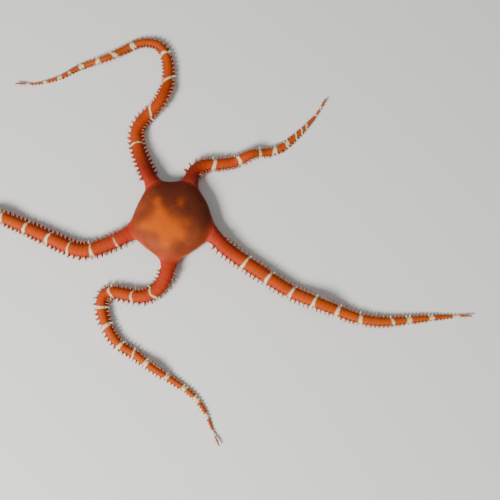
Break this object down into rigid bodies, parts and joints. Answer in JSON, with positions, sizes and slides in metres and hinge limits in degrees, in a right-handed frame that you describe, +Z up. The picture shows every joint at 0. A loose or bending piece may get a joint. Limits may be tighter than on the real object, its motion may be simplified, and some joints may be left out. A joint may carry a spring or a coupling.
{
  "type": "brittle star",
  "caption": "Brittle star with a soft, domed disc and long, thin, curling arms fringed with short blunt spines.",
  "frame": {"origin": "middle of the animal's bounding box, on the floor that it lies on", "axes": "+Z up, +X along the longest extent, to the right in the reference view, +Y away from the viewer"},
  "size_m": [0.147, 0.105, 0.0057],
  "materials": {
    "disc_skin": "soft wet skin, golden orange in the middle, coral red at the edge",
    "arm_skin": "soft wet skin, orange with narrow cream bands",
    "spines": "skin-covered blunt spines, orange with pale tips"
  },
  "bodies": {
    "root": {"arm_left_1": "arm_skin", "arm_left_2": "arm_skin", "arm_left_3": "arm_skin", "arm_left_4": "arm_skin", "arm_lower_1": "arm_skin", "arm_lower_2": "arm_skin", "arm_lower_3": "arm_skin", "arm_lower_4": "arm_skin", "arm_lower_5": "arm_skin", "arm_right_1": "arm_skin", "arm_right_2": "arm_skin", "arm_right_3": "arm_skin", "arm_right_4": "arm_skin", "arm_upper_left_1": "arm_skin", "arm_upper_left_2": "arm_skin", "arm_upper_left_3": "arm_skin", "arm_upper_left_4": "arm_skin", "arm_upper_left_5": "arm_skin", "arm_upper_right_1": "arm_skin", "arm_upper_right_2": "arm_skin", "arm_upper_right_3": "arm_skin", "disc": "disc_skin"}
  },
  "joints": []
}
